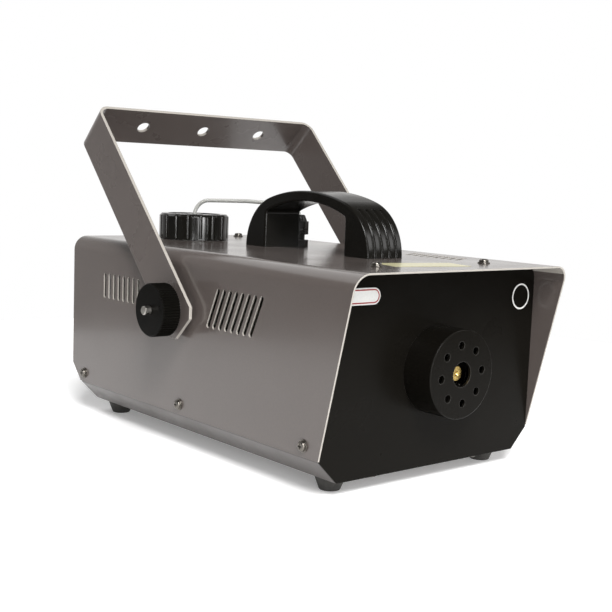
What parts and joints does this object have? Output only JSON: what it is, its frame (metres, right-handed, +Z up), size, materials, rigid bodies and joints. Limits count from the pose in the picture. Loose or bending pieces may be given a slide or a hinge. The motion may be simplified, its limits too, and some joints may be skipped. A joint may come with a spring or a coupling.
{
  "type": "fog machine",
  "caption": "Fog machine in a sheet-steel housing with front nozzle, carry handle, refill cap with fluid hose, vents and a U-shaped hanging yoke held by clamp knobs.",
  "frame": {"origin": "on the floor under the middle of the housing, halfway between its sides and its ends", "axes": "+Z up, the nozzle points along -Y, +X to the right as seen from the front"},
  "size_m": [0.3294, 0.43, 0.3095],
  "materials": {
    "housing_sheet": "satin",
    "panel_sheet": "satin",
    "tray_sheet": "satin",
    "black_plastic": "satin",
    "rubber": "matte",
    "zinc_steel": "satin",
    "bright_steel": "polished",
    "brass": "satin",
    "heater_aluminium": "satin",
    "tank_plastic": "satin",
    "clear_tube": "gloss",
    "white_tube": "satin",
    "insulation": "matte",
    "board_green": "satin",
    "component_black": "satin",
    "terminal_green": "satin",
    "transformer": "satin",
    "wire_red": "satin",
    "glass": "gloss"
  },
  "bodies": {
    "housing": {"cover": "housing_sheet", "base_tray": "tray_sheet", "front_panel": "panel_sheet", "rear_panel": "panel_sheet", "foot_front_left": "rubber", "foot_front_right": "rubber", "foot_rear_left": "rubber", "foot_rear_right": "rubber", "pivot_spacers": "black_plastic", "pivot_plates": "zinc_steel", "pivot_bolts": "bright_steel", "carry_handle": "black_plastic", "handle_screws": "zinc_steel", "tank": "tank_plastic", "fluid_hose": "clear_tube", "intake_filter": "white_tube", "hose_gland_body": "black_plastic", "hose_gland_nut": "black_plastic", "hose_gland_locknut": "black_plastic", "nozzle_shroud": "panel_sheet", "nozzle": "brass", "vapour_tube": "zinc_steel", "heating_rods": "zinc_steel", "heater_block_lower": "heater_aluminium", "heater_block_upper": "heater_aluminium", "heater_bolts": "zinc_steel", "thermostats": "component_black", "insulation_wrap": "insulation", "heater_brackets": "zinc_steel", "pump_coil": "component_black", "pump_tube": "brass", "pump_spring": "bright_steel", "pump_bracket": "zinc_steel", "outlet_hose": "white_tube", "control_board": "board_green", "board_transformer": "transformer", "board_relay": "component_black", "board_capacitors": "component_black", "board_terminals": "terminal_green", "board_standoffs": "white_tube", "wiring": "wire_red", "mains_inlet": "black_plastic", "inlet_pins": "zinc_steel", "fuse_holder": "black_plastic", "fuse": "glass", "switch_body": "black_plastic", "remote_socket": "black_plastic", "pan_head_screws": "bright_steel", "clinch_nuts": "zinc_steel", "small_screws": "bright_steel"},
    "yoke": {"yoke": "housing_sheet"},
    "left_washer": {"knob_washer_left": "zinc_steel"},
    "left_knob": {"knob_left": "black_plastic"},
    "right_washer": {"knob_washer_right": "zinc_steel"},
    "right_knob": {"knob_right": "black_plastic"},
    "cap_seal": {"cap_liner": "rubber"},
    "cap": {"tank_cap": "black_plastic"},
    "rocker": {"switch_rocker": "black_plastic"},
    "fuse_carrier": {"fuse_cap": "black_plastic"},
    "plunger": {"pump_plunger": "bright_steel"}
  },
  "joints": [
    {"name": "yoke_tilt", "type": "hinge", "parent": "housing", "child": "yoke", "pos_m": [0, 0.0137, 0.128], "axis": [1, 0, 0], "range_deg": [-70, 112]},
    {"name": "left_knob_back_off", "type": "slide", "parent": "housing", "child": "left_washer", "axis": [-1, 0, 0], "range_m": [0, 0.003]},
    {"name": "left_knob_turn", "type": "hinge", "parent": "left_washer", "child": "left_knob", "pos_m": [-0.15, 0.0137, 0.128], "axis": [-1, 0, 0], "range_deg": [0, 720]},
    {"name": "right_knob_back_off", "type": "slide", "parent": "housing", "child": "right_washer", "axis": [1, 0, 0], "range_m": [0, 0.003]},
    {"name": "right_knob_turn", "type": "hinge", "parent": "right_washer", "child": "right_knob", "pos_m": [0.15, 0.0137, 0.128], "axis": [1, 0, 0], "range_deg": [0, 720]},
    {"name": "cap_rise", "type": "slide", "parent": "housing", "child": "cap_seal", "axis": [0, 0, 1], "range_m": [0, 0.006], "deforming": ["fluid_hose"]},
    {"name": "cap_turn", "type": "hinge", "parent": "cap_seal", "child": "cap", "pos_m": [-0.02, 0.153, 0.2], "axis": [0, 0, 1], "range_deg": [0, 540]},
    {"name": "switch_rock", "type": "hinge", "parent": "housing", "child": "rocker", "pos_m": [0.103, 0.195, 0.098], "axis": [1, 0, 0], "range_deg": [0, 18]},
    {"name": "fuse_cap_turn", "type": "hinge", "parent": "housing", "child": "fuse_carrier", "pos_m": [0.075, 0.2, 0.098], "axis": [0, 1, 0], "range_deg": [0, 90]},
    {"name": "plunger_stroke", "type": "slide", "parent": "housing", "child": "plunger", "axis": [0, -1, 0], "range_m": [0, 0.006], "stiffness_N_per_m": 250, "springref_m": -0.002, "deforming": ["pump_spring"]}
  ],
  "couplings": [
    {"joint": "left_knob_back_off", "follows": "left_knob_turn", "m_per_rad": 0.00023873},
    {"joint": "right_knob_back_off", "follows": "right_knob_turn", "m_per_rad": 0.00023873},
    {"joint": "cap_rise", "follows": "cap_turn", "m_per_rad": 0.00063662}
  ]
}
